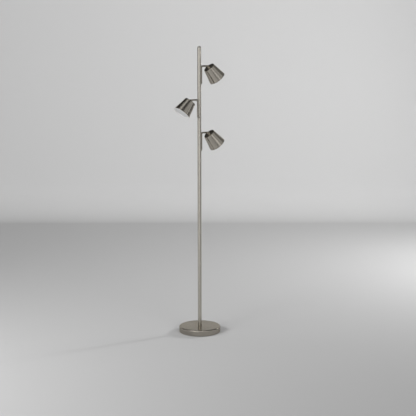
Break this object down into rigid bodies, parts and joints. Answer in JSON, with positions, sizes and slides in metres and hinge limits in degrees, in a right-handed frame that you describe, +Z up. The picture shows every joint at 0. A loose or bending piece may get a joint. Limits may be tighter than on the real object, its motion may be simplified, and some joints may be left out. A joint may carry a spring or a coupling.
{
  "type": "tree floor lamp",
  "caption": "Tree floor lamp with a round weighted base, a slim straight pole and conical spot heads on short swivelling arms with tilting knuckles.",
  "frame": {"origin": "centre of the round footprint, on the plane the lamp stands on", "axes": "+Z up along the pole; +X is the way the upper and lower arms point at rest, the middle arm points along -X"},
  "size_m": [0.2855, 0.2202, 1.5],
  "materials": {
    "satin_nickel": "satin brushed nickel plate",
    "nickel_screw": "nickel plated, machined",
    "zinc_steel": "zinc plated",
    "cast_iron": "as cast, black paint",
    "brass": "machined",
    "black_nylon": "moulded",
    "pad_foam": "closed-cell foam pad",
    "cast_aluminium": "die cast",
    "white_board": "white solder mask",
    "opal_lens": "opal diffuser, satin",
    "white_bezel": "white moulded, semi gloss",
    "lead_insulation": "insulated leads"
  },
  "bodies": {
    "stand": {"base_pad": "pad_foam", "base_plate": "zinc_steel", "base_screws": "zinc_steel", "base_weight": "cast_iron", "base_cover": "satin_nickel", "cord_bush": "black_nylon", "pole_nipple": "zinc_steel", "nipple_washer": "zinc_steel", "nipple_nut": "zinc_steel", "pole_foot_insert": "zinc_steel", "pole_lower": "satin_nickel", "pole_middle": "satin_nickel", "pole_upper": "satin_nickel", "pole_couplers": "zinc_steel", "pole_cap": "satin_nickel", "supply_leads": "lead_insulation", "leg_upper": "satin_nickel", "swivel_bush_upper": "black_nylon", "leg_middle": "satin_nickel", "swivel_bush_middle": "black_nylon", "leg_lower": "satin_nickel", "swivel_bush_lower": "black_nylon"},
    "arm_body_upper": {"arm_upper": "satin_nickel", "swivel_spigot_upper": "brass", "knuckle_tongue_upper": "satin_nickel"},
    "head_upper": {"shade_upper": "satin_nickel", "clevis_upper": "satin_nickel", "friction_washers_upper": "black_nylon", "tilt_screw_upper": "nickel_screw", "tilt_nut_upper": "nickel_screw", "heat_sink_upper": "cast_aluminium", "led_board_upper": "white_board", "lens_upper": "opal_lens", "bezel_upper": "white_bezel"},
    "arm_body_middle": {"arm_middle": "satin_nickel", "swivel_spigot_middle": "brass", "knuckle_tongue_middle": "satin_nickel"},
    "head_middle": {"shade_middle": "satin_nickel", "clevis_middle": "satin_nickel", "friction_washers_middle": "black_nylon", "tilt_screw_middle": "nickel_screw", "tilt_nut_middle": "nickel_screw", "heat_sink_middle": "cast_aluminium", "led_board_middle": "white_board", "lens_middle": "opal_lens", "bezel_middle": "white_bezel"},
    "arm_body_lower": {"arm_lower": "satin_nickel", "swivel_spigot_lower": "brass", "knuckle_tongue_lower": "satin_nickel"},
    "head_lower": {"shade_lower": "satin_nickel", "clevis_lower": "satin_nickel", "friction_washers_lower": "black_nylon", "tilt_screw_lower": "nickel_screw", "tilt_nut_lower": "nickel_screw", "heat_sink_lower": "cast_aluminium", "led_board_lower": "white_board", "lens_lower": "opal_lens", "bezel_lower": "white_bezel"}
  },
  "joints": [
    {"name": "upper_swivel", "type": "hinge", "parent": "stand", "child": "arm_body_upper", "pos_m": [0.01452, 0.00376, 1.3975], "axis": [0, 0, 1], "range_deg": [-66, 95]},
    {"name": "upper_tilt", "type": "hinge", "parent": "arm_body_upper", "child": "head_upper", "pos_m": [0.05402, 0.00376, 1.3975], "axis": [0, 1, 0], "range_deg": [-65, 30]},
    {"name": "middle_swivel", "type": "hinge", "parent": "stand", "child": "arm_body_middle", "pos_m": [-0.01299, -0.0075, 1.2265], "axis": [0, 0, 1], "range_deg": [-50, 110]},
    {"name": "middle_tilt", "type": "hinge", "parent": "arm_body_middle", "child": "head_middle", "pos_m": [-0.05249, -0.0075, 1.2265], "axis": [0, -1, 0], "range_deg": [-65, 30]},
    {"name": "lower_swivel", "type": "hinge", "parent": "stand", "child": "arm_body_lower", "pos_m": [0.01452, 0.00376, 1.0555], "axis": [0, 0, 1], "range_deg": [-66, 95]},
    {"name": "lower_tilt", "type": "hinge", "parent": "arm_body_lower", "child": "head_lower", "pos_m": [0.05402, 0.00376, 1.0555], "axis": [0, 1, 0], "range_deg": [-65, 30]}
  ]
}
